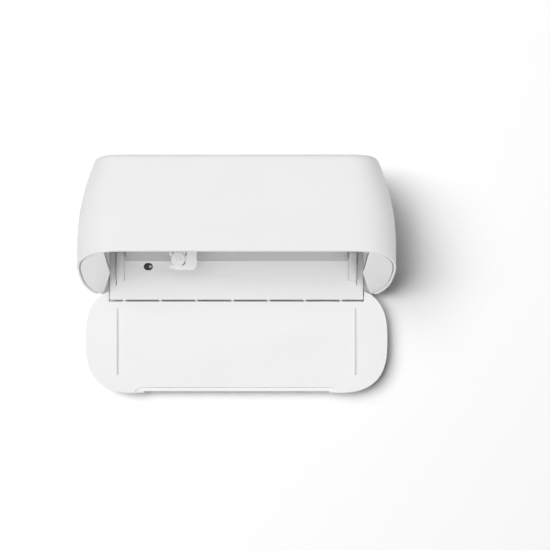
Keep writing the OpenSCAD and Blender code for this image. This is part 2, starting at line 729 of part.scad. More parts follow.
// ---- Carriage ----
cart_in = 2;
module carriage() {
    x0 = carriage_x - carriage_w / 2;
    x1 = carriage_x + carriage_w / 2;
    n0 = carriage_x - nose_w / 2;
    n1 = carriage_x + nose_w / 2;
    color("white") difference() {
        union() {
            block([x0, tub_front, tub_z], [x1, tub_back, tub_top]);
            block([carriage_x - 4, head_front, head_z + 1], [carriage_x + 16, head_back, tub_z + eps]);
            translate([0, 0, nose_z - 10]) linear_extrude(10)
                polygon([[n0, tub_front + 1], [n0, nose_front + 2.6], [n0 + 1, nose_front + 1.6],
                    [n0 + 5, nose_front + 1.6], [n0 + 7, nose_front], [n1 - 5, nose_front],
                    [n1 - 3.09, nose_front + 0.38], [n1 - 1.46, nose_front + 1.46],
                    [n1 - 0.38, nose_front + 3.09], [n1, nose_front + 5], [n1, tub_front + 1]]);
            bar_x(x0 + 2, x1 - 2, rod_y, rod_z, rod_r + 3);
            block([x0 + 2, tub_back - 1, rod_z - 3], [x1 - 2, rod_y, rod_z + 3]);
            block([carriage_x - 4, tub_back - 1, belt_z - 1], [carriage_x + 4, belt_y - pulley_r - belt_t - 0.4, belt_z + 9]);
            block([carriage_x - 4, rod_y, belt_z + belt_h + 0.5],
                [carriage_x + 4, belt_y - pulley_r + 0.2, belt_z + 9]);
            block([x0 + 4, tub_back - 1, tub_top - 12], [x0 + 12, strip_y + 3, tub_top - 9.6]);
            for (y = [strip_y - 2.4, strip_y + 0.8])
                block([x0 + 4, y, tub_top - 12], [x0 + 12, y + 1.6, tub_top - 3]);
        }
        block([x0 + cart_in, tub_front + cart_in, tub_z + 2], [x1 - cart_in, tub_back - cart_in, tub_top + 1]);
        block([carriage_x - 4 + cart_in, head_front + cart_in, head_z - 1],
            [carriage_x + 16 - cart_in, head_back - cart_in, tub_z + 3]);
        bar_x(x0 - 1, x1 + 1, rod_y, rod_z, rod_r + play);
        block([x0 - 1, rail_y - 0.4, rail_z - 6.5], [x1 + 1, rail_y + 1.8, tub_top + 1]);
        translate([knob_x, knob_y, nose_z - 6]) cylinder(r = 1.5 + play, h = 8);
        block([n0 + 2.4, nose_front + 2.4, nose_z - 11], [n1 - 2.4, tub_front - 2, nose_z - 2]);
        translate([knob_x, knob_y, 0]) {
            rotate(132) block([knob_dia / 2 - 0.3, -0.4, nose_z - 4], [knob_dia / 2 + 3.3, 0.4, nose_z + 1]);
            block([knob_dia / 2 + 0.1, 2.9, nose_z - 4], [knob_dia / 2 + 1, 9, nose_z + 1]);
            translate([0, 0, nose_z - 4]) rotate(-54) rotate_extrude(angle = 30)
                polygon([[knob_dia / 2 + 0.1, 0], [knob_dia / 2 + 0.9, 0], [knob_dia / 2 + 0.9, 5],
                    [knob_dia / 2 + 0.1, 5]]);
        }
    }
}
module release_knob() {
    color("white") translate([knob_x, knob_y, nose_z + 0.1]) difference() {
        union() {
            cylinder(r = knob_dia / 2, h = knob_t - 0.6, $fn = 64);
            translate([0, 0, knob_t - 0.6]) cylinder(r1 = knob_dia / 2, r2 = knob_dia / 2 - 0.6, h = 0.6, $fn = 64);
            translate([0, 0, -3]) cylinder(r = 1.5, h = 4);
            translate([0, 0, knob_t - eps]) cylinder(r = 2, h = 0.5);
        }
        translate([0, 0, knob_t - 0.3]) cylinder(r = 1.2, h = 2);
    }
}
module ink_cartridge() {
    x0 = carriage_x - carriage_w / 2 + cart_in + 0.3;
    x1 = carriage_x + carriage_w / 2 - cart_in - 0.3;
    color("dimgray") {
        difference() {
            block([x0, tub_front + cart_in + 0.3, tub_z + 2], [x1, tub_back - cart_in - 0.3, tub_top - 2]);
            block([x0 - 1, rail_y - 1.2, rail_z - 7.5], [x1 + 1, rail_y + 2.6, tub_top + 1]);
        }
        block([carriage_x - 4 + cart_in + 0.3, head_front + cart_in + 0.3, head_z],
            [carriage_x + 16 - cart_in - 0.3, head_back - cart_in - 0.3, tub_z + 2 + eps]);
    }
}
module encoder_strip() {
    color("gray") block([-frame_x, strip_y, tub_top - 9], [frame_x, strip_y + 0.4, tub_top - 3.5]);
}
// Belt loop round the two pulleys
module drive_belt() {
    color("black") translate([0, belt_y, belt_z]) linear_extrude(belt_h) difference() {
        belt_area(pulley_r + belt_t);
        belt_area(pulley_r + 0.1);
    }
}
module belt_area(r) {
    union() {
        for (x = [-pulley_x, pulley_x])
            translate([x, 0]) circle(r = r, $fn = 48);
        square([pulley_x * 2, r * 2], center = true);
    }
}
module pulley(x) {
    translate([x, belt_y, belt_z]) difference() {
        union() {
            cylinder(r = pulley_r - 0.1, h = belt_h, $fn = 48);
            translate([0, 0, -1.4]) cylinder(r = pulley_r + belt_t + 0.1, h = 1.1, $fn = 48);
            translate([0, 0, -1.4]) cylinder(r = pulley_r - 0.1, h = belt_h + 1.4, $fn = 48);
        }
        translate([0, 0, -2]) cylinder(r = pulley_hub + play, h = belt_h + 4);
    }
}
module drive_pulley() {
    color("lightgray") pulley(-pulley_x);
}
module idler_pulley() {
    color("lightgray") pulley(pulley_x);
}
module carriage_motor() {
    color("silver") translate([-pulley_x, belt_y, 0]) {
        translate([0, 0, 22]) cylinder(r = motor_r, h = 20);
        cylinder_hub(42);
        block([-frame_x + pulley_x, -7, 41], [motor_r, 4, 42.4]);
    }
}
// Shaft that carries a belt pulley
module cylinder_hub(z) {
    translate([0, 0, z - 1]) cylinder(r = pulley_hub, h = belt_z + belt_h - z + 1);
}
module idler_bracket() {
    color("silver") translate([pulley_x, belt_y, 0]) {
        block([-8, -4, belt_z - 4.4], [frame_x - pulley_x, 4, belt_z - 3]);
        cylinder_hub(belt_z - 3);
    }
}

// ---- Paper feed ----
module feed_roller() {
    color("dimgray") {
        bar_x(-118, 111, feed_y, feed_z, feed_shaft_dia / 2);
        for (x = tyre_x)
            bar_x(x - tyre_l / 2, x + tyre_l / 2, feed_y, feed_z, feed_r);
    }
}
module exit_roller() {
    color("dimgray") {
        bar_x(-118, 111, exit_y, exit_z, exit_shaft_dia / 2);
        for (x = exit_tyre_x)
            bar_x(x - exit_tyre_l / 2, x + exit_tyre_l / 2, exit_y, exit_z, exit_r);
    }
}
module feed_gear() {
    color("white") gear_x_axis(gear_x, feed_y, feed_z, feed_teeth, feed_shaft_dia / 2, feed_phase);
}
module idler_gear() {
    color("white") gear_x_axis(gear_x, idler_y, idler_z, idler_teeth, 1.5 + play, idler_phase);
}
module exit_gear() {
    color("white") gear_x_axis(gear_x, exit_y, exit_z, exit_teeth, exit_shaft_dia / 2, exit_phase);
}
module motor_pinion() {
    color("gold") gear_x_axis(gear_x, motor_y, feed_z, pinion_teeth, 1 + play, pinion_phase);
}
module feed_motor() {
    color("silver") {
        bar_x(-111, -96, motor_y, feed_z, 7);
        bar_x(-117, -110, motor_y, feed_z, 1);
    }
}
module pinch_holder() {
    color("gray") difference() {
        union() {
            block([-frame_x, feed_y + pinch_r + 1.5, pinch_z + 1.6], [frame_x, feed_y + pinch_r + 9, pinch_z + 3.6]);
            for (x = tyre_x, s = [-1, 1])
                block([x + s * 10 - 1, feed_y - 2.6, pinch_z - 2.4], [x + s * 10 + 1, feed_y + pinch_r + 4, pinch_z + 3.6]);
        }
        bar_x(-100, 100, feed_y, pinch_z, 1 + play);
    }
}
module pinch_rollers() {
    color("black") {
        for (x = tyre_x)
            bar_x(x - 8.6, x + 8.6, feed_y, pinch_z, pinch_r);
        for (x = tyre_x)
            bar_x(x - 11, x + 11, feed_y, pinch_z, 1);
    }
}
module star_holder() {
    color("gray") difference() {
        union() {
            block([-frame_x, exit_y - 6.6, star_z + 1.4], [frame_x, exit_y + 6.4, star_z + 4.6]);
            for (x = exit_tyre_x, s = [-1, 1])
                block([x + s * 4.2 - 0.8, exit_y - 2, star_z - 1.6], [x + s * 4.2 + 0.8, exit_y + 2, star_z + 2]);
        }
        for (x = exit_tyre_x)
            block([x - 3, exit_y - 4.9, star_z - 1], [x + 3, exit_y + 4.9, star_z + 6]);
        for (x = exit_tyre_x)
            bar_x(x - 6, x + 6, exit_y, star_z, 0.8 + play);
    }
}
module star_wheel() {
    teeth = 14;
    linear_extrude(0.8) polygon([for (k = [0 : teeth * 2 - 1])
        let (r = k % 2 == 0 ? star_r : star_r - 1.3) [r * cos(k * 180 / teeth), r * sin(k * 180 / teeth)]]);
}
module star_wheels() {
    color("silver") for (x = exit_tyre_x)
        translate([x, exit_y, star_z]) rotate([0, 90, 0]) {
            for (s = [-1.6, 0.8])
                translate([0, 0, s]) star_wheel();
            translate([0, 0, -2.6]) cylinder(r = 1.6, h = 5.2);
            translate([0, 0, -4.6]) cylinder(r = 0.8, h = 9.2);
        }
}

// ---- Service station, board and sockets ----
cap_x = carriage_x + 6 + 161;
module cap_station() {
    color("gray") translate([cap_x, (head_front + head_back) / 2, 0]) difference() {
        block([-8.6, -9.6, 8.6], [8.6, 9.6, platen_z - 5]);
        block([-6.9, -7.9, 10.4], [6.9, 7.9, platen_z]);
    }
}
module cap_sled() {
    color("dimgray") translate([cap_x, (head_front + head_back) / 2, 0]) difference() {
        block([-6.6, -7.6, 10.8], [6.6, 7.6, platen_z - 1]);
        block([-5, -6, platen_z - 4], [5, 6, platen_z]);
    }
}
module wiper_blade() {
    color("black") translate([cap_x - 8.6, (head_front + head_back) / 2, 0])
        block([-1.4, -6, 9], [0, 6, head_z - 0.6]);
}
module paper_chute() {
    y0 = feed_y + feed_r + 2.5;
    color("gray") {
        translate([-slot_w / 2, 0, 0]) rotate([90, 0, 90]) linear_extrude(slot_w)
            polygon([[y0, platen_z + 1.6], [cover_y - 2.2, platen_z + 7.6],
                [cover_y - 2.2, platen_z + 5.6], [y0, platen_z - 0.2]]);
        block([-frame_x, y0 + 3.1, platen_z + 0.9], [frame_x, y0 + 6.1, platen_z + 2.2]);
    }
}
board_z = floor_in_z + 5;
module main_board() {
    color("green") {
        difference() {
            block([-70, 84, board_z], [100, cover_y - 4, board_z + 1.6]);
            for (x = [-66, 96], y = [88, 97])
                translate([x, y, board_z - 1]) cylinder(r = 1.6, h = 4, $fn = 24);
        }
        for (x = [-66, 96], y = [88, 97])
            translate([x, y, chassis_top]) difference() {
                cylinder(r = 2.6, h = board_z - chassis_top + eps, $fn = 24);
                translate([0, 0, -1]) cylinder(r = 1.2, h = 6, $fn = 24);
            }
    }
    color("black") {
        block([-30, 88, board_z + 1.6], [-14, 98, board_z + 3.4]);
        block([2, 87, board_z + 1.6], [12, 95, board_z + 3]);
        translate([24, 92, board_z + 1.6]) cylinder(r = 4, h = 8);
    }
}
module power_inlet() {
    color("black") difference() {
        block([74.3, cover_y - 12, board_z + 1.6], [84.1, back_y - 1.4, board_z + 10.6]);
        translate([79.2, back_y, board_z + 6.1]) rotate([90, 0, 0]) cylinder(r = 3.2, h = 11);
    }
    color("silver") translate([79.2, back_y - 1.8, board_z + 6.1]) rotate([90, 0, 0]) cylinder(r = 0.8, h = 9.6);
}
module data_socket() {
    color("silver") difference() {
        block([50.3, cover_y - 12, board_z + 1.6], [62.1, back_y - 1.4, board_z + 10.8]);
        block([51.2, cover_y - 6, board_z + 2.5], [61.2, back_y, board_z + 9.9]);
    }
    color("white") block([54, cover_y - 6.5, board_z + 4.6], [58.4, back_y - 2.4, board_z + 7.6]);
}
module ink_pad() {
    color("lightgray") block([-92, head_front + 0.5, chassis_top], [-68, head_back, chassis_top + 5]);
}

base_shell();
top_shell();
rear_cover();
rear_screws();
base_screws();
rubber_feet();
front_bezel();
flap_panel();
flap_cover();
hinge_pins();
paper_floor();
rail_left();
rail_right();
sensor_housing();
sensor_lens();
platen();
chassis();
side_frame_left();
side_frame_right();
upper_rail();
guide_rod();
carriage();
release_knob();
ink_cartridge();
encoder_strip();
drive_belt();
carriage_motor();
drive_pulley();
idler_pulley();
idler_bracket();
feed_roller();
feed_gear();
idler_gear();
exit_roller();
exit_gear();
feed_motor();
motor_pinion();
pinch_holder();
pinch_rollers();
star_holder();
star_wheels();
cap_station();
cap_sled();
wiper_blade();
paper_chute();
main_board();
power_inlet();
data_socket();
ink_pad();
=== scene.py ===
import json
import math
import bmesh
import bpy
import numpy as np
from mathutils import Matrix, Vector


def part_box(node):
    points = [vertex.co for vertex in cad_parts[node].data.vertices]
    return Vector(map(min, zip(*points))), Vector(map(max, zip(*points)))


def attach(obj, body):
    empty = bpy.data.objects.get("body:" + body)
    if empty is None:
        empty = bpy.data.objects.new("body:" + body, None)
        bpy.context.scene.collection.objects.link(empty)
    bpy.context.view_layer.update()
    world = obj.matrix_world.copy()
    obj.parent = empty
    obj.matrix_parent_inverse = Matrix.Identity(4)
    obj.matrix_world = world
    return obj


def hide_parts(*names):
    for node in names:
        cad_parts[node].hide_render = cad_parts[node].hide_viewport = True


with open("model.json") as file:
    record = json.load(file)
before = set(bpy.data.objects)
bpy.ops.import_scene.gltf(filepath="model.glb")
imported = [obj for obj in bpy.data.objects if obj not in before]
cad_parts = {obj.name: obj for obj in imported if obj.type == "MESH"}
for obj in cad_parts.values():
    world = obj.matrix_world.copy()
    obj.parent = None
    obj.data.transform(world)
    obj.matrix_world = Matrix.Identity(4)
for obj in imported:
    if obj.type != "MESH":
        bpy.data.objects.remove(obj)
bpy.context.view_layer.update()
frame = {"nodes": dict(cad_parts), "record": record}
nodes = frame["nodes"]
print("frame loaded:", len(nodes), "nodes")

mm = 0.001
sharpAngle = 35  # degrees; flatter edges are shaded smooth

# Sizes are in millimetres and angles in degrees
casing = {  # as in the CAD
    "width": 297,
    "height": 93.2,
    "topDepth": 86,
    "mouthAngle": 63.5,
    "capWidth": 51,
    "squareness": 2.75,
    "bowRadius": 188,
    "wall": 2.2,
    "backRound": 4,
    "seamHeight": 22,
    "seamGap": 0.2,
    "footHeight": 2,
    "edgeRound": 0.45,
    "bowStart": 5,
    "lipDepth": 1.6,
    "lipChamfer": 0.3,
    "rearWall": 6,
    "outlineSteps": 34,
}
flap = {  # panel, finger recess and the bosses on the hinge pins
    "reach": 41.7,
    "drop": 1.9,
    "seal": 0.4,
    "edge": 3.8,
    "panel": 2.2,
    "depth": 9.2,
    "notch": 125.3,
    "gripDepth": 5.6,
    "gripWidth": 100,
    "gripSlope": 8.5,
    "gripLedge": 1.4,
    "ledgeSeam": 0.5,
    "edgeRound": 0.5,
    "seamDepth": 1.1,
    "bossRadius": 3.1,
    "bossLength": 8,
    "bossGap": 0.05,
}
fin = {  # the two thin ribs that guide the paper
    "x": 117,
    "thick": 1.2,
    "height": 1.3,
    "length": 66,
    "start": 6.2,
    "ramp": 9,
    "root": 0.3,
    "tip": [(0.6, 0), (0.1, 0.3), (0, 0.8)],  # (before the end, below the top)
    "edgeRound": 0.2,
}
cover = {  # the dished outer skin under the panel, and its cuts at the hinge
    "profile": [(0, 0), (0, 0.14), (0.9, 0.36), (2.8, 0.56), (8, 0.78), (18, 0.93), (34, 1)],  # (inset, share of depth)
    "rings": 18,
    "bossRoom": 8.4,
    "bossDepth": 6,
    "hingeBehind": 4.4,
}
heel = {  # room that the two heels of the flap sweep through
    "stations": 7,
    "pitch": 2.2,
    "overlap": 1,
    "least": 1.2,
    "depth": 3.2,
    "play": 0.7,
    "ringSteps": 48,
}
cheek = {  # face beside the mouth, with the flank and the wall behind it
    "inner": 118.6,
    "flareFrom": 5,
    "flare": [(5, 0), (-29, 9.6), (-38, 12.4), (-60, 12.4)],
    "flankDepth": 36,
    "flankBack": 26.6,
    "noseY": 8.2,
    "noseZ": 38.6,
    "flankWall": 1.7,
    "groove": 0.8,
    "sink": 0.7,
    "thick": 1,
    "corner": 2.2,
    "cornerRoom": 0.5,
    "edgeRoom": 0.6,
    "edgeRound": 0.45,
    "backingInset": 1.9,
    "backing": 3,
    "flankFront": 2.9,
    "flankLevels": [-12, -29, -35.5],
    "flankGap": 0.05,
    "floorGap": 0.25,
    "wallLow": 55.5,
    "wallDrop": 4,
    "wallRear": 3.5,
    "wallThick": 2,
}
cross = {  # two strips under the front edge of the roof: half width, bottom, top
    "strips": [(119.6, 85.6, 89), (102, 88.9, 92.7)],
    "front": 1.5,
    "rear": 3.5,
}

# Shape of the casing, the same functions as in the CAD
coreWidth = casing["width"] / 2 - casing["capWidth"]
midHeight = casing["footHeight"] + casing["height"] / 2
theta = math.radians(casing["mouthAngle"])
slant = casing["height"] / 2 / math.sin(theta)
mouthRun = casing["height"] / 2 / math.tan(theta)
axisOffY = -flap["reach"] * math.cos(theta) - (flap["drop"] + flap["seal"]) * math.sin(theta)
axisOffZ = -flap["reach"] * math.sin(theta) + (flap["drop"] + flap["seal"]) * math.cos(theta)
mouthY = (flap["reach"] + slant - axisOffY - mouthRun - casing["topDepth"]) / 2
backY = mouthY + mouthRun + casing["topDepth"]
bowY = mouthY + mouthRun + casing["bowStart"]
axisY = mouthY + axisOffY
axisZ = midHeight + axisOffZ
flapY = axisY - flap["reach"]
floorZ = axisZ + flap["drop"]


def squared(value):
    return math.copysign(abs(value) ** (2 / casing["squareness"]), value)


def halfWidth(y):
    if y < bowY:
        return casing["width"] / 2
    r = casing["bowRadius"]
    return casing["width"] / 2 - r + math.sqrt(r * r - (y - bowY) ** 2)


def frontY(z):
    return mouthY + (z - midHeight) / math.tan(theta)


def capX(y, inset, c):
    # half width of a section at depth y, where c is the cosine round its end
    return coreWidth + (halfWidth(y) - inset - coreWidth) * squared(max(0.0, c))


def outlineRight(inset, upright=False, steps=None):
    # right end of the mouth's outline, from the lowest point to the highest
    steps = steps or casing["outlineSteps"]
    tall = (casing["height"] / 2 - inset) / math.sin(theta) if upright else slant - inset
    points = []
    for i in range(steps + 1):
        a = -math.pi / 2 + math.pi * i / steps
        x = coreWidth + (casing["capWidth"] - inset) * squared(max(0.0, math.cos(a)))
        points.append((x, tall * squared(math.sin(a))))
    return points


def outlineVAt(x):
    # height along the slant where the outline is x wide
    share = max(0.0, (x - coreWidth) / casing["capWidth"])
    n = casing["squareness"]
    return slant * max(0.0, 1 - share ** n) ** (1 / n)


def meshObject(name, verts, faces, smoothAngle=sharpAngle):
    mesh = bpy.data.meshes.new(name)
    mesh.from_pydata([tuple(c * mm for c in v) for v in verts], [], faces)
    obj = bpy.data.objects.new(name, mesh)
    bpy.context.scene.collection.objects.link(obj)
    fixNormals(obj)
    smooth(obj, smoothAngle)
    return obj


def fixNormals(obj):
    bm = bmesh.new()
    bm.from_mesh(obj.data)
    bmesh.ops.recalc_face_normals(bm, faces=bm.faces)
    bm.to_mesh(obj.data)
    bm.free()


def smooth(obj, angle=sharpAngle):
    mesh = obj.data
    mesh.polygons.foreach_set("use_smooth", [True] * len(mesh.polygons))
    mesh.set_sharp_from_angle(angle=math.radians(angle))


def applyModifiers(obj):
    # keeps the result of the modifiers as plain mesh
    graph = bpy.context.evaluated_depsgraph_get()
    made = bpy.data.meshes.new_from_object(obj.evaluated_get(graph))
    obj.modifiers.clear()
    old = obj.data
    obj.data = made
    bpy.data.meshes.remove(old)


def bevel(obj, width, segments):
    mod = obj.modifiers.new("edges", "BEVEL")
    mod.width = width * mm
    mod.segments = segments
    mod.limit_method = "ANGLE"
    mod.angle_limit = math.radians(sharpAngle)
    mod.harden_normals = False
    mod.use_clamp_overlap = True
    applyModifiers(obj)
    smooth(obj)


def cutWith(obj, cutter):
    mod = obj.modifiers.new("cut", "BOOLEAN")
    mod.operation = "DIFFERENCE"
    mod.solver = "EXACT"
    mod.object = cutter
    applyModifiers(obj)
    bpy.data.objects.remove(cutter)
    smooth(obj)


def boxObject(name, low, high):
    (a, b, c), (d, e, f) = low, high
    verts = [(x, y, z) for x in (a, d) for y in (b, e) for z in (c, f)]
    faces = [(0, 1, 3, 2), (4, 6, 7, 5), (0, 4, 5, 1), (2, 3, 7, 6), (0, 2, 6, 4), (1, 5, 7, 3)]
    return meshObject(name, verts, faces)


def cutSide(obj, side, nearX, farX, low, high):
    # box cut on one side of the middle; low and high are (y, z)
    left, right = sorted((side * nearX, side * farX))
    cutWith(obj, boxObject("cut", (left, *low), (right, *high)))


def prism(name, outline, low, high, toWorld):
    # closed solid from a flat outline; toWorld turns (x, v, w) into world millimetres
    n = len(outline)
    verts = [toWorld(x, v, w) for w in (low, high) for x, v in outline]
    faces = [tuple(range(n)), tuple(range(2 * n - 1, n - 1, -1))]
    faces += [(i, (i + 1) % n, n + (i + 1) % n, n + i) for i in range(n)]
    return meshObject(name, verts, faces)


def join(name, parts):
    bm = bmesh.new()
    for part in parts:
        bm.from_mesh(part.data)
        bpy.data.objects.remove(part)
    mesh = bpy.data.meshes.new(name)
    bm.to_mesh(mesh)
    bm.free()
    obj = bpy.data.objects.new(name, mesh)
    bpy.context.scene.collection.objects.link(obj)
    return obj


def nodeGroup(name, inputs, outputs):
    group = bpy.data.node_groups.new(name, "ShaderNodeTree")
    for label, kind, value in inputs:
        socket = group.interface.new_socket(label, in_out="INPUT", socket_type=kind)
        socket.default_value = value
    for label, kind in outputs:
        group.interface.new_socket(label, in_out="OUTPUT", socket_type=kind)
    return group, group.nodes.new("NodeGroupInput"), group.nodes.new("NodeGroupOutput")


def makeGrain():
    # fine moulded texture: a normal, a soft mask and a roughness change
    group, gIn, gOut = nodeGroup(
        "mouldedGrain",
        [("Scale", "NodeSocketFloat", 900.0), ("Depth", "NodeSocketFloat", 0.1)],
        [("Mask", "NodeSocketFloat"), ("Clouds", "NodeSocketFloat"), ("Normal", "NodeSocketVector")],
    )
    coord = group.nodes.new("ShaderNodeTexCoord")
    fine = group.nodes.new("ShaderNodeTexNoise")
    fine.inputs["Detail"].default_value = 3.0
    fine.inputs["Roughness"].default_value = 0.6
    clouds = group.nodes.new("ShaderNodeTexNoise")
    clouds.inputs["Scale"].default_value = 14.0
    clouds.inputs["Detail"].default_value = 4.0
    bump = group.nodes.new("ShaderNodeBump")
    bump.inputs["Distance"].default_value = 0.0002
    link = group.links.new
    link(coord.outputs["Object"], fine.inputs["Vector"])
    link(coord.outputs["Object"], clouds.inputs["Vector"])
    link(gIn.outputs["Scale"], fine.inputs["Scale"])
    link(gIn.outputs["Depth"], bump.inputs["Strength"])
    link(fine.outputs["Fac"], bump.inputs["Height"])
    link(fine.outputs["Fac"], gOut.inputs["Mask"])
    link(clouds.outputs["Fac"], gOut.inputs["Clouds"])
    link(bump.outputs["Normal"], gOut.inputs["Normal"])
    return group


def makeBrushed():
    # long scratches along X, and their normal
    group, gIn, gOut = nodeGroup(
        "brushedLines",
        [("Fineness", "NodeSocketFloat", 900.0), ("Depth", "NodeSocketFloat", 0.15)],
        [("Mask", "NodeSocketFloat"), ("Normal", "NodeSocketVector")],
    )
    coord = group.nodes.new("ShaderNodeTexCoord")
    stretch = group.nodes.new("ShaderNodeMapping")
    stretch.inputs["Scale"].default_value = (0.02, 1.0, 1.0)
    lines = group.nodes.new("ShaderNodeTexNoise")
    lines.inputs["Detail"].default_value = 5.0
    bump = group.nodes.new("ShaderNodeBump")
    bump.inputs["Distance"].default_value = 0.0001
    link = group.links.new
    link(coord.outputs["Object"], stretch.inputs["Vector"])
    link(stretch.outputs["Vector"], lines.inputs["Vector"])
    link(gIn.outputs["Fineness"], lines.inputs["Scale"])
    link(gIn.outputs["Depth"], bump.inputs["Strength"])
    link(lines.outputs["Fac"], bump.inputs["Height"])
    link(lines.outputs["Fac"], gOut.inputs["Mask"])
    link(bump.outputs["Normal"], gOut.inputs["Normal"])
    return group


grain = makeGrain()
brushed = makeBrushed()


def linear(grey):
    # display grey 0-255 to linear
    c = grey / 255
    return c / 12.92 if c <= 0.04045 else ((c + 0.055) / 1.055) ** 2.4


def evenGrey(name):
    return [linear(greys[name])] * 3


def newMaterial(name):
    material = bpy.data.materials.new(name)
    material.use_nodes = True
    tree = material.node_tree
    return material, tree, tree.nodes["Principled BSDF"]


def plastic(name, colour, rough=0.5, scale=900.0, depth=0.1, spread=0.02):
    material, tree, shader = newMaterial(name)
    group = tree.nodes.new("ShaderNodeGroup")
    group.node_tree = grain
    group.inputs["Scale"].default_value = scale
    group.inputs["Depth"].default_value = depth
    ramp = tree.nodes.new("ShaderNodeMapRange")
    ramp.inputs["From Min"].default_value = 0.3
    ramp.inputs["From Max"].default_value = 0.7
    ramp.inputs["To Min"].default_value = rough - 0.05
    ramp.inputs["To Max"].default_value = rough + 0.05
    tint = tree.nodes.new("ShaderNodeMix")
    tint.data_type = "RGBA"
    tint.inputs["A"].default_value = (*[c * (1 - spread) for c in colour], 1)
    tint.inputs["B"].default_value = (*[min(1, c * (1 + spread)) for c in colour], 1)
    link = tree.links.new
    link(group.outputs["Clouds"], tint.inputs["Factor"])
    link(tint.outputs["Result"], shader.inputs["Base Color"])
    link(group.outputs["Mask"], ramp.inputs["Value"])
    link(ramp.outputs["Result"], shader.inputs["Roughness"])
    link(group.outputs["Normal"], shader.inputs["Normal"])
    shader.inputs["IOR"].default_value = 1.46
    return material


def metal(name, colour, rough=0.35):
    material, tree, shader = newMaterial(name)
    group = tree.nodes.new("ShaderNodeGroup")
    group.node_tree = brushed
    spread = tree.nodes.new("ShaderNodeMapRange")
    spread.inputs["To Min"].default_value = rough - 0.1
    spread.inputs["To Max"].default_value = rough + 0.1
    link = tree.links.new
    link(group.outputs["Mask"], spread.inputs["Value"])
    link(spread.outputs["Result"], shader.inputs["Roughness"])
    link(group.outputs["Normal"], shader.inputs["Normal"])
    shader.inputs["Base Color"].default_value = (*colour, 1)
    shader.inputs["Metallic"].default_value = 1.0
    return material


def circuitBoard(name):
    material, tree, shader = newMaterial(name)
    coord = tree.nodes.new("ShaderNodeTexCoord")
    tracks = tree.nodes.new("ShaderNodeTexBrick")
    tracks.inputs["Scale"].default_value = 120.0
    tracks.inputs["Mortar Size"].default_value = 0.06
    tracks.inputs["Color1"].default_value = (0.01, 0.12, 0.05, 1)
    tracks.inputs["Color2"].default_value = (0.012, 0.15, 0.06, 1)
    tracks.inputs["Mortar"].default_value = (0.05, 0.28, 0.12, 1)
    link = tree.links.new
    link(coord.outputs["Object"], tracks.inputs["Vector"])
    link(tracks.outputs["Color"], shader.inputs["Base Color"])
    shader.inputs["Roughness"].default_value = 0.3
    return material


def clearFilm(name):
    material, tree, shader = newMaterial(name)
    coord = tree.nodes.new("ShaderNodeTexCoord")
    ticks = tree.nodes.new("ShaderNodeTexWave")
    ticks.inputs["Scale"].default_value = 600.0
    ramp = tree.nodes.new("ShaderNodeMapRange")
    ramp.inputs["To Min"].default_value = 0.25
    ramp.inputs["To Max"].default_value = 0.75
    link = tree.links.new
    link(coord.outputs["Object"], ticks.inputs["Vector"])
    link(ticks.outputs["Fac"], ramp.inputs["Value"])
    link(ramp.outputs["Result"], shader.inputs["Alpha"])
    shader.inputs["Base Color"].default_value = (0.12, 0.12, 0.13, 1)
    shader.inputs["Roughness"].default_value = 0.15
    return material


greys = {  # display greys of the plastics
    "casing": 240,
    "flap": 242,
    "cheek": 240,
    "floor": 240,
    # inner: the grey of the inner parts, also used as painted shade on the platen and the fins
    "inner": 210,
}
materials = {
    "casing_white": plastic("casingWhite", evenGrey("casing"), 0.5, 1100, 0.12),
    "flap_white": plastic("flapWhite", evenGrey("flap"), 0.5, 1100, 0.12),
    "cheek_grey": plastic("cheekGrey", evenGrey("cheek"), 0.42, 1400, 0.06),
    "floor_white": plastic("floorWhite", evenGrey("floor"), 0.42, 1400, 0.06),
    "inner_grey": plastic("innerGrey", evenGrey("inner"), 0.55),
    "dark_plastic": plastic("darkPlastic", [0.012] * 3, 0.45),
    "steel": metal("steelSheet", (0.62, 0.63, 0.65)),
    "rubber": plastic("blackRubber", [0.018] * 3, 0.8, 700, 0.4, 0.1),
    "gear_plastic": plastic("gearPlastic", [0.62, 0.6, 0.54], 0.4),
    "brass": metal("turnedBrass", (0.75, 0.56, 0.27), 0.3),
    "board_green": circuitBoard("circuitBoard"),
    "lens_grey": plastic("lensGrey", [0.42, 0.42, 0.44], 0.15, 500, 0.0),
    "felt": plastic("padFelt", [0.6, 0.6, 0.57], 0.95, 400, 0.8, 0.1),
    "film": clearFilm("codeFilm"),
}
nodeSlots = {s["node"]: s["material_slot"] for s in frame["record"]["subparts"]}
for nodeName, obj in nodes.items():
    obj.data.materials.clear()
    obj.data.materials.append(materials[nodeSlots[nodeName]])
print("materials made:", len(materials))


def place(piece, body, slot, *replaced):
    piece.data.materials.clear()
    piece.data.materials.append(materials[slot])
    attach(piece, body)
    if replaced:
        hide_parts(*replaced)


def casingStations():
    # (kind, place, inset) of each ring of the shell, once round its wall
    cornerSteps, sideSteps, backSteps, innerSteps = 3, 14, 7, 8
    wall = casing["wall"]
    e = casing["edgeRound"]
    back = casing["backRound"]
    straight = backY - back
    lip = back + casing["lipDepth"]
    chamfer = casing["lipChamfer"]
    inner = backY - casing["rearWall"]
    out = []
    for i in range(cornerSteps + 1):  # inner and outer corner of the front edge
        a = math.pi / 2 * i / cornerSteps
        out.append(("front", e * (1 - math.sin(a)), wall - e + e * math.cos(a)))
    for i in range(cornerSteps + 1):
        a = math.pi / 2 * i / cornerSteps
        out.append(("front", e * (1 - math.cos(a)), e * (1 - math.sin(a))))
    out += [("depth", bowY + (straight - bowY) * k / sideSteps, 0.0) for k in range(sideSteps + 1)]
    for i in range(1, backSteps + 1):
        a = math.pi / 2 * i / backSteps
        out.append(("depth", straight + back * math.sin(a), back * (1 - math.cos(a))))
    out += [("depth", backY, lip - chamfer), ("depth", backY - chamfer, lip), ("depth", inner, lip)]
    out += [("depth", inner - (inner - bowY) * k / innerSteps, wall) for k in range(innerSteps + 1)]
    return out


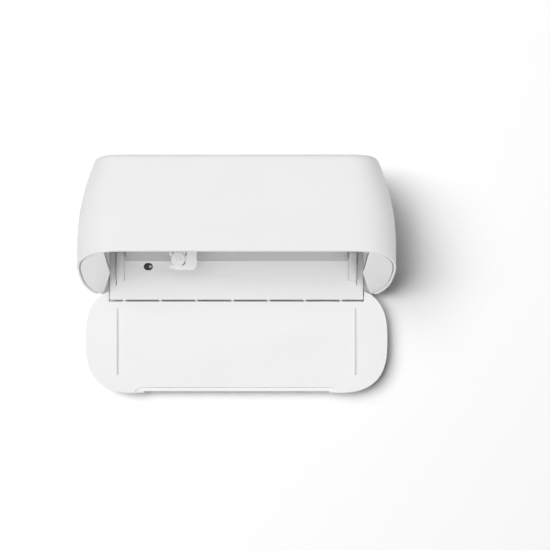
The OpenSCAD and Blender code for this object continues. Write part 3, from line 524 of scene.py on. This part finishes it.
def shellPart(name, upper):
    steps = casing["outlineSteps"]
    seam = casing["seamHeight"] + (casing["seamGap"] if upper else 0)
    rings = []
    for kind, where, inset in casingStations():
        tall = casing["height"] / 2 - inset
        low = math.asin(max(-1.0, -((midHeight - seam) / tall) ** (casing["squareness"] / 2)))
        end, count = (math.pi / 2, steps) if upper else (-math.pi / 2, steps // 2)
        angles = np.linspace(low, end, count)
        ring = []
        for side in (1, -1):
            for a in angles if side == 1 else angles[::-1]:
                z = midHeight + tall * squared(math.sin(a))
                y = frontY(z) + where if kind == "front" else where
                ring.append((side * capX(y if kind == "depth" else 0, inset, math.cos(a)), y, z))
        rings.append(ring)
    n, m = len(rings), len(rings[0])
    verts = [v for ring in rings for v in ring]
    faces = []
    for i in range(n):
        for j in range(m - 1):
            k = (i + 1) % n
            faces.append((i * m + j, k * m + j, k * m + j + 1, i * m + j + 1))
    faces.append(tuple(i * m for i in range(n)))
    faces.append(tuple(i * m + m - 1 for i in range(n - 1, -1, -1)))
    shellSharp = 32
    return meshObject(name, verts, faces, shellSharp)


def heelSweep(side):
    # the room that one heel of the flap needs when it closes
    count = heel["ringSteps"]
    xs = [flap["notch"] - heel["overlap"] + k * heel["pitch"] for k in range(heel["stations"])]
    radii = []
    for x in xs:
        behind = outlineVAt(x) - flap["reach"]
        radii.append(math.hypot(max(heel["least"], behind), heel["depth"]) + heel["play"])
    verts = []
    for x, r in zip(xs, radii):
        for i in range(count):
            a = 2 * math.pi * i / count
            verts.append((side * x, axisY + r * math.cos(a), axisZ + r * math.sin(a)))
    faces = [tuple(range(count)), tuple(range(len(verts) - 1, len(verts) - count - 1, -1))]
    for k in range(len(xs) - 1):
        for i in range(count):
            j = (i + 1) % count
            faces.append((k * count + i, (k + 1) * count + i, (k + 1) * count + j, k * count + j))
    return meshObject("heelCutter", verts, faces)


topSkin = shellPart("topShellSkin", True)
place(topSkin, "casing", "casing_white", "top_shell")
baseSkin = shellPart("baseShellSkin", False)
for side in (1, -1):
    cutWith(baseSkin, heelSweep(side))
place(baseSkin, "casing", "casing_white", "base_shell")
print("casing made")


def inMouth(x, v, w):
    # along the slant and out of the mouth's plane
    return (x, mouthY + v * math.cos(theta) - w * math.sin(theta),
            midHeight + v * math.sin(theta) + w * math.cos(theta))


def onSide(y, z, x):
    # an outline seen from the side
    return (x, y, z)


def innerX(v):
    # inner edge of the cheek at height v, flaring out towards the hinge
    table = cheek["flare"]
    if v >= table[0][0]:
        return cheek["inner"]
    for (v0, x0), (v1, x1) in zip(table, table[1:]):
        if v >= v1:
            return cheek["inner"] + x0 + (x1 - x0) * (v - v0) / (v1 - v0)
    return cheek["inner"] + table[-1][1]


def cheekOutline(inset):
    # flat outline of one cheek, with a rounded top corner
    arcSteps, innerSteps = 5, 12
    edge = outlineRight(inset, upright=True, steps=80)
    inner = cheek["inner"]
    r = cheek["corner"]
    points = [p for p in edge if p[0] > innerX(p[1])
              + (r + cheek["cornerRoom"] if p[1] > 0 else cheek["edgeRoom"])]
    topX, topV = points[-1]
    slope = (points[-2][1] - topV) / (points[-2][0] - topX)
    cornerV = topV + slope * (inner + r - topX)
    for i in range(1, arcSteps + 1):
        a = math.pi / 2 * i / arcSteps
        points.append((inner + r - r * math.sin(a), cornerV - r + r * math.cos(a)))
    low = points[0][1]
    points.append((inner, cheek["flareFrom"] + 1))
    for i in range(innerSteps):
        v = cheek["flareFrom"] + (low - cheek["flareFrom"]) * i / innerSteps
        points.append((innerX(v), v))
    return points


def cheekPiece(side):
    front = -cheek["sink"]
    behind = front - cheek["backing"]
    face = prism("face", [(side * x, v) for x, v in cheekOutline(casing["wall"] + cheek["groove"])],
                 front - cheek["thick"], front, inMouth)
    bevel(face, cheek["edgeRound"], 4)
    backing = prism("backing", [(side * x, v) for x, v in cheekOutline(casing["wall"] + cheek["backingInset"])],
                    behind, front - cheek["thick"] - 0.01, inMouth)

    levels = [cheek["flareFrom"]] + cheek["flankLevels"]
    flankIn = [(side * (innerX(v) + cheek["flankGap"]), v) for v in levels]
    flankOut = [(side * (innerX(v) + cheek["flankWall"]), v) for v in levels]
    flank = prism("flank", flankIn + flankOut[::-1], behind - cheek["flankDepth"], front - cheek["flankFront"], inMouth)
    farX, farY, farZ = 150, 90, 100  # beyond the flank
    for low, high in (((cheek["flankBack"], 0), farZ),
                      ((-60, -30), floorZ + cheek["floorGap"]),
                      ((cheek["noseY"], cheek["noseZ"]), farZ)):
        cutWith(flank, boxObject("cut", (-farX, *low), (farX, farY, high)))

    top = midHeight + casing["height"] / 2 - casing["wall"] - cheek["wallDrop"]
    low = cheek["wallLow"]
    rear = mouthY + mouthRun + cheek["wallRear"]
    shift = (cheek["sink"] + cheek["thick"]) / math.sin(theta)
    sideOutline = [(frontY(low) + shift, low), (rear, low), (rear, top), (frontY(top) + shift, top)]
    wall = prism("wall", sideOutline, side * cheek["inner"], side * (cheek["inner"] + cheek["wallThick"]), onSide)
    piece = join("cheek", [face, backing, flank, wall])
    cutWith(piece, heelSweep(side))
    return piece


roofFrontY = mouthY + mouthRun
strips = [boxObject("cross", (-x, roofFrontY + cross["front"], low), (x, roofFrontY + cross["rear"], high))
          for x, low, high in cross["strips"]]
bezel = join("frontBezelSkin", [cheekPiece(1), cheekPiece(-1)] + strips)
smooth(bezel)
place(bezel, "casing", "cheek_grey", "front_bezel")
print("bezel made")


def onFlap(x, v, w):
    # v towards the near edge of the open flap, w down into its thickness
    return (x, flapY - v, floorZ - w)


def flapOutline():
    arcSteps, notchRoom, gripRoom = 12, 0.3, 0.4
    notchV = -flap["reach"] + flap["edge"]
    heelV = -outlineVAt(flap["notch"])
    right = [p for p in outlineRight(0, steps=90) if not (p[0] < flap["notch"] + notchRoom and p[1] < 0)]
    right = [p for p in right if not (p[1] > 0 and p[0] < flap["gripWidth"] + gripRoom)]
    half = [(flap["notch"], notchV), (flap["notch"], heelV)] + right
    for i in range(arcSteps + 1):  # curved end of the finger recess
        a = math.pi / 2 * i / arcSteps
        half.append((flap["gripWidth"] - flap["gripSlope"] * (1 - math.cos(a)),
                     slant - flap["gripDepth"] * math.sin(a)))
    return half + [(-x, v) for x, v in half[::-1]]


def bossPiece(side):
    # round boss on the hinge pin, flat where it meets the panel
    count = 40
    ring = []
    for i in range(count):
        a = 2 * math.pi * i / count
        ring.append((axisY + flap["bossRadius"] * math.cos(a),
                     min(floorZ - flap["bossGap"], axisZ + flap["bossRadius"] * math.sin(a))))
    return prism("boss", ring, side * (flap["notch"] + flap["bossGap"]),
                 side * (flap["notch"] + flap["bossLength"]), onSide)


panelSkin = prism("panel", flapOutline(), 0, flap["panel"], onFlap)
bevel(panelSkin, flap["edgeRound"], 4)
panelSkin = join("flapPanelSkin", [panelSkin, bossPiece(1), bossPiece(-1)])
smooth(panelSkin)
place(panelSkin, "flap", "flap_white", "flap_panel")


def finPiece(side):
    start = -flap["reach"] + flap["edge"] + fin["start"]
    end = start + fin["length"]
    h = fin["height"]
    outline = [(start, fin["root"]), (start, 0), (start + fin["ramp"], -h)]
    outline += [(end - before, below - h) for before, below in fin["tip"]] + [(end, fin["root"])]
    inner = fin["x"] - fin["thick"] / 2
    return prism("fin", outline, side * inner, side * (inner + fin["thick"]), lambda v, w, x: onFlap(x, v, w))


fins = join("paperFins", [finPiece(1), finPiece(-1)])
bevel(fins, fin["edgeRound"], 2)
# The fins take the darker inner grey: painted shade for the shadow along each rib
place(fins, "flap", "inner_grey")


def coverRings(depth):
    profile = np.array(cover["profile"], float)
    rings = []
    for along in np.linspace(0, len(profile) - 1, cover["rings"]):
        i = min(int(along), len(profile) - 2)
        f = along - i
        inset, w = profile[i] * (1 - f) + profile[i + 1] * f
        right = outlineRight(inset, steps=40)
        ring = right + [(-x, v) for x, v in right[::-1]]
        rings.append([onFlap(x, v, flap["panel"] + w * depth) for x, v in ring])
    return rings


def loft(name, rings):
    n, m = len(rings[0]), len(rings)
    faces = [tuple(range(n)), tuple(range(n * m - 1, n * (m - 1) - 1, -1))]
    for k in range(m - 1):
        for i in range(n):
            j = (i + 1) % n
            faces.append((k * n + i, (k + 1) * n + i, (k + 1) * n + j, k * n + j))
    return meshObject(name, [v for ring in rings for v in ring], faces)


coverSkin = loft("flapCoverSkin", coverRings(flap["depth"] - flap["panel"]))
under, over = -5, 30  # heights below and above the whole flap; other bare numbers here reach past it too
hingeBehind = axisY + cover["hingeBehind"]
notchSide = flap["notch"] - 1
cutWith(coverSkin, boxObject("cut", (-flap["notch"], axisY - flap["edge"], under), (flap["notch"], 40, over)))
for side in (1, -1):
    cutSide(coverSkin, side, notchSide, flap["notch"] + cover["bossRoom"],
            (axisY - 10, floorZ - cover["bossDepth"]), (hingeBehind, floorZ))
    cutSide(coverSkin, side, notchSide, flap["notch"] + 40, (hingeBehind, under), (axisY + 30, over))
ledgeX = flap["gripWidth"] - flap["gripSlope"]
ledgeY = flapY - slant + flap["gripLedge"]
seamY = flapY - slant + flap["gripDepth"]
panelLow = floorZ - flap["panel"]
cutWith(coverSkin, boxObject("cut", (-ledgeX, ledgeY - 10, panelLow - 9), (ledgeX, ledgeY, floorZ + 3)))
cutWith(coverSkin, boxObject("cut", (-ledgeX, seamY - flap["ledgeSeam"], panelLow - flap["seamDepth"]),
                             (ledgeX, seamY + 0.2, panelLow + 1)))
place(coverSkin, "flap", "casing_white", "flap_cover")
print("flap made")


softEdges = {  # node: (body, millimetres)
    "paper_floor": ("casing", 0.25),
    "rail_left": ("casing", 0.4),
    "rail_right": ("casing", 0.4),
    "carriage": ("carriage", 0.4),
    "release_knob": ("carriage", 0.25),
    "platen": ("casing", 0.2),
}
paintedShadeSlots = {"platen": "inner_grey"}  # a soft copy darker than its node: the platen's darker grey is painted shade under the roof's front edge


def softCopy(node, body, width):
    # the node's own mesh without its inner edges, then rounded
    piece = bpy.data.objects.new(node.replace("_", "") + "Soft", nodes[node].data.copy())
    bpy.context.scene.collection.objects.link(piece)
    bm = bmesh.new()
    bm.from_mesh(piece.data)
    bmesh.ops.remove_doubles(bm, verts=bm.verts, dist=1e-6)
    bmesh.ops.dissolve_limit(bm, angle_limit=math.radians(1), verts=bm.verts, edges=bm.edges)
    bm.to_mesh(piece.data)
    bm.free()
    bevel(piece, width, 2)
    place(piece, body, paintedShadeSlots.get(node, nodeSlots[node]), node)
    return piece


def boxOf(node):
    return [[c / mm for c in corner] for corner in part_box(node)]


softPieces = {name: softCopy(name, body, width) for name, (body, width) in softEdges.items()}
nose = {  # carriage nose, measured from the middle of the release knob
    "beak": [(-9.2, -6.7), (-3.2, -5.3), (-3.2, 2.8), (-9.2, 2.8)],
    "beakLow": 39,
    "beakHigh": 51,
    "shadeSheetLow": 47.45,
    "shadeSheetHigh": 47.95,
    # the entries from here to cornerBack place dark sheets just under the nose's top plate: painted shade in the gaps
    # round the knob
    "shadeSheetLeft": -6,
    "shadeSheetRight": 10,
    "shadeSheetFront": 3.2,
    "shadeSheetBack": 22,
    "cornerLeft": 2.8,
    "cornerFront": 2.6,
    "cornerBack": 3.1,
}
noseFront = boxOf("carriage")[0][1]
knobX, knobY = [(a + b) / 2 for a, b in zip(*boxOf("release_knob"))][:2]
cutWith(softPieces["carriage"], prism("cut", nose["beak"], nose["beakLow"], nose["beakHigh"],
                                      lambda x, y, z: (knobX + x, knobY + y, z)))
# Dark sheets under the gaps round the knob make them read black: painted shade, not a part of the printer
shadeSheetRight = knobX + nose["shadeSheetRight"]
shadeSheets = [
    boxObject("shadeSheet", (knobX + nose["shadeSheetLeft"], knobY + nose["shadeSheetFront"], nose["shadeSheetLow"]),
              (shadeSheetRight, noseFront + nose["shadeSheetBack"], nose["shadeSheetHigh"])),
    boxObject("shadeSheet", (knobX + nose["cornerLeft"], noseFront + nose["cornerFront"], nose["shadeSheetLow"]),
              (shadeSheetRight, knobY + nose["cornerBack"], nose["shadeSheetHigh"])),
]
place(join("knobGapShadeSheet", shadeSheets), "carriage", "dark_plastic")
print("soft edges made")


def makeRowTree():
    # a straight row of equal blocks with slightly uneven heights
    tree = bpy.data.node_groups.new("rowOfBlocks", "GeometryNodeTree")
    for label, kind in (("Geometry", "Geometry"), ("Count", "Int"), ("Start", "Vector"), ("Step", "Vector"),
                        ("Block", "Vector"), ("Unevenness", "Float"), ("Seed", "Int"), ("Material", "Material")):
        tree.interface.new_socket(label, in_out="INPUT", socket_type="NodeSocket" + kind)
    tree.interface.new_socket("Geometry", in_out="OUTPUT", socket_type="NodeSocketGeometry")
    add = tree.nodes.new
    gIn, gOut = add("NodeGroupInput"), add("NodeGroupOutput")
    line = add("GeometryNodeMeshLine")
    line.mode = "OFFSET"
    cube = add("GeometryNodeMeshCube")
    random = add("FunctionNodeRandomValue")
    random.data_type = "FLOAT"
    random.inputs[3].default_value = 1.0
    low = add("ShaderNodeMath")
    low.operation = "SUBTRACT"
    low.inputs[0].default_value = 1.0
    sizes = add("ShaderNodeCombineXYZ")
    sizes.inputs["X"].default_value = 1.0
    sizes.inputs["Y"].default_value = 1.0
    onPoints = add("GeometryNodeInstanceOnPoints")
    realize = add("GeometryNodeRealizeInstances")
    paint = add("GeometryNodeSetMaterial")
    link = tree.links.new
    link(gIn.outputs["Count"], line.inputs["Count"])
    link(gIn.outputs["Start"], line.inputs["Start Location"])
    link(gIn.outputs["Step"], line.inputs["Offset"])
    link(gIn.outputs["Block"], cube.inputs["Size"])
    link(gIn.outputs["Unevenness"], low.inputs[1])
    link(low.outputs["Value"], random.inputs[2])
    link(gIn.outputs["Seed"], random.inputs["Seed"])
    link(random.outputs[1], sizes.inputs["Z"])
    link(line.outputs["Mesh"], onPoints.inputs["Points"])
    link(cube.outputs["Mesh"], onPoints.inputs["Instance"])
    link(sizes.outputs["Vector"], onPoints.inputs["Scale"])
    link(onPoints.outputs["Instances"], realize.inputs["Geometry"])
    link(realize.outputs["Geometry"], paint.inputs["Geometry"])
    link(gIn.outputs["Material"], paint.inputs["Material"])
    link(paint.outputs["Geometry"], gOut.inputs["Geometry"])
    return tree


rowTree = makeRowTree()


def blockRow(name, body, slot, count, start, step, block, unevenness=0.0, seed=1):
    holder = bpy.data.objects.new(name + "Row", bpy.data.meshes.new(name + "Row"))
    bpy.context.scene.collection.objects.link(holder)
    mod = holder.modifiers.new("row", "NODES")
    mod.node_group = rowTree
    values = {
        "Count": count,
        "Start": [c * mm for c in start],
        "Step": [c * mm for c in step],
        "Block": [c * mm for c in block],
        "Unevenness": unevenness,
        "Seed": seed,
        "Material": materials[slot],
    }
    sockets = {i.name: i.identifier for i in rowTree.interface.items_tree if i.in_out == "INPUT"}
    for label, value in values.items():
        mod[sockets[label]] = value
    graph = bpy.context.evaluated_depsgraph_get()
    mesh = bpy.data.meshes.new_from_object(holder.evaluated_get(graph))
    holder.modifiers.clear()
    bpy.data.objects.remove(holder)
    piece = bpy.data.objects.new(name, mesh)
    bpy.context.scene.collection.objects.link(piece)
    place(piece, body, slot)
    return piece


rows = {  # fingers and tabs at the hinge, marks on the code strip, teeth on the back strand of the belt
    "fingerCount": 7,
    "fingerPitch": 35.5,
    "fingerCentre": -3.9,
    "finger": (2.3, 1.25, 1.4),
    "fingerFront": 2.05,
    "fingerOverlap": 0.05,
    "fingerSink": 0.08,
    "tab": (2.3, 0.5, 0.35),
    "tabFront": 3.45,
    "tabSink": 0.04,
    "tickPitch": 1.4,
    "tick": (0.55, 0.05, 2.8),
    "tickMargin": 16,
    "tickOut": 0.02,
    "tickDrop": 0.6,
    "toothPitch": 2.0,
    "tooth": (1.0, 0.45, 4.4),
    "toothMargin": 34,
    "toothSink": 0.15,
    "beltThick": 1.2,
}
firstFinger = rows["fingerCentre"] - (rows["fingerCount"] - 1) / 2 * rows["fingerPitch"]
fingerStep = (rows["fingerPitch"], 0, 0)
fingerY = axisY - rows["fingerFront"] - rows["finger"][1] / 2 + rows["fingerOverlap"]
fingerZ = floorZ - rows["fingerSink"] - rows["finger"][2] / 2
blockRow("floorFingers", "casing", "floor_white", rows["fingerCount"],
         (firstFinger, fingerY, fingerZ), fingerStep, rows["finger"])
tabY = axisY - rows["tabFront"] - rows["tab"][1] / 2
tabZ = floorZ - rows["tabSink"] - rows["tab"][2] / 2
blockRow("flapTabs", "flap", "flap_white", rows["fingerCount"], (firstFinger, tabY, tabZ), fingerStep, rows["tab"])

stripLow, stripHigh = boxOf("encoder_strip")
tickCount = int((stripHigh[0] - stripLow[0] - rows["tickMargin"]) / rows["tickPitch"])
blockRow("encoderTicks", "casing", "dark_plastic", tickCount,
         (-(tickCount - 1) * rows["tickPitch"] / 2, stripLow[1] - rows["tickOut"],
          (stripLow[2] + stripHigh[2]) / 2 - rows["tickDrop"]),
         (rows["tickPitch"], 0, 0), rows["tick"])
beltLow, beltHigh = boxOf("drive_belt")
toothCount = int((beltHigh[0] - beltLow[0] - rows["toothMargin"]) / rows["toothPitch"])
blockRow("beltTeeth", "casing", "rubber", toothCount,
         (-(toothCount - 1) * rows["toothPitch"] / 2,
          beltHigh[1] - rows["beltThick"] - rows["tooth"][1] / 2 + rows["toothSink"],
          (beltLow[2] + beltHigh[2]) / 2),
         (rows["toothPitch"], 0, 0), rows["tooth"], unevenness=0.04, seed=3)
print("rows made:", tickCount, "ticks,", toothCount, "teeth")

stage = {  # light and backdrop; lamps are in metres and watts
    "floorHalf": 3000,
    "floorThick": 2,
    "floorGrey": 0.97,
    "floorGlow": 0.03,
    "domeLeft": 0.19,
    "domeRight": 0.035,
    "aim": (0, 0.02, 0),
    "softbox": {"power": 137.0, "place": (-0.4, -0.1, 3.0), "size": 5.0},
    "mouthFill": {"power": 1.0, "place": (0.55, -0.75, 0.75), "size": 0.7},
    "floorKey": {"power": 455.0, "place": (-3.05, 1.8, 4.65), "size": 4.3},
}
half = stage["floorHalf"]
floor = boxObject("studioFloor", (-half, -half, -stage["floorThick"]), (half, half, 0))
floorMaterial, floorTree, floorShader = newMaterial("studioFloor")
floorShader.inputs["Base Color"].default_value = (*[stage["floorGrey"]] * 3, 1)
floorShader.inputs["Roughness"].default_value = 0.9
floorShader.inputs["Specular IOR Level"].default_value = 0.0
floorShader.inputs["Emission Color"].default_value = (1, 1, 1, 1)
lightPath = floorTree.nodes.new("ShaderNodeLightPath")
glow = floorTree.nodes.new("ShaderNodeMath")
glow.operation = "MULTIPLY"
glow.inputs[1].default_value = stage["floorGlow"]
floorTree.links.new(lightPath.outputs["Is Camera Ray"], glow.inputs[0])
floorTree.links.new(glow.outputs["Value"], floorShader.inputs["Emission Strength"])
floor.data.materials.append(floorMaterial)

world = bpy.data.worlds.new("studio")
bpy.context.scene.world = world
world.use_nodes = True
sky = world.node_tree
background = sky.nodes["Background"]
background.inputs["Color"].default_value = (1, 1, 1, 1)
direction = sky.nodes.new("ShaderNodeTexCoord")
parts = sky.nodes.new("ShaderNodeSeparateXYZ")
dome = sky.nodes.new("ShaderNodeMapRange")
dome.inputs["From Min"].default_value = -1.0
dome.inputs["From Max"].default_value = 1.0
dome.inputs["To Min"].default_value = stage["domeLeft"]
dome.inputs["To Max"].default_value = stage["domeRight"]
sky.links.new(direction.outputs["Generated"], parts.inputs["Vector"])
sky.links.new(parts.outputs["X"], dome.inputs["Value"])
seen = sky.nodes.new("ShaderNodeLightPath")
strength = sky.nodes.new("ShaderNodeMix")  # the camera sees white, the dome gives the light
strength.data_type = "FLOAT"
strength.inputs["B"].default_value = 1.0
sky.links.new(seen.outputs["Is Camera Ray"], strength.inputs["Factor"])
sky.links.new(dome.outputs["Result"], strength.inputs["A"])
sky.links.new(strength.outputs["Result"], background.inputs["Strength"])


def areaLight(name, location, target, size, power):
    data = bpy.data.lights.new(name, "AREA")
    data.energy = power
    data.shape = "SQUARE"
    data.size = size
    lamp = bpy.data.objects.new(name, data)
    bpy.context.scene.collection.objects.link(lamp)
    lamp.location = location
    lamp.rotation_euler = (Vector(target) - Vector(location)).to_track_quat("-Z", "Y").to_euler()
    return lamp


def lightOnly(lamp, objects):
    # light linking: the lamp reaches only these objects
    receivers = bpy.data.collections.new(lamp.name + "Receivers")
    for obj in objects:
        receivers.objects.link(obj)
    lamp.light_linking.receiver_collection = receivers


printerMeshes = [obj for obj in bpy.context.scene.objects if obj.type == "MESH" and obj != floor]
for label, receivers in (("softbox", printerMeshes), ("mouthFill", printerMeshes), ("floorKey", [floor])):
    box = stage[label]
    lightOnly(areaLight(label, box["place"], stage["aim"], box["size"], box["power"]), receivers)

view = {"height": 0.85, "frameWidth": 0.55, "sensor": 36, "shiftX": 0.07, "centreY": 0.00415}
cameraData = bpy.data.cameras.new("photoCamera")
cameraData.sensor_width = view["sensor"]
cameraData.lens = view["sensor"] * view["height"] / view["frameWidth"]
cameraData.shift_x = view["shiftX"]
camera = bpy.data.objects.new("photoCamera", cameraData)
bpy.context.scene.collection.objects.link(camera)
camera.location = (0, view["centreY"], view["height"])
bpy.context.scene.camera = camera
bpy.context.scene.view_settings.view_transform = "Standard"
print("stage made")
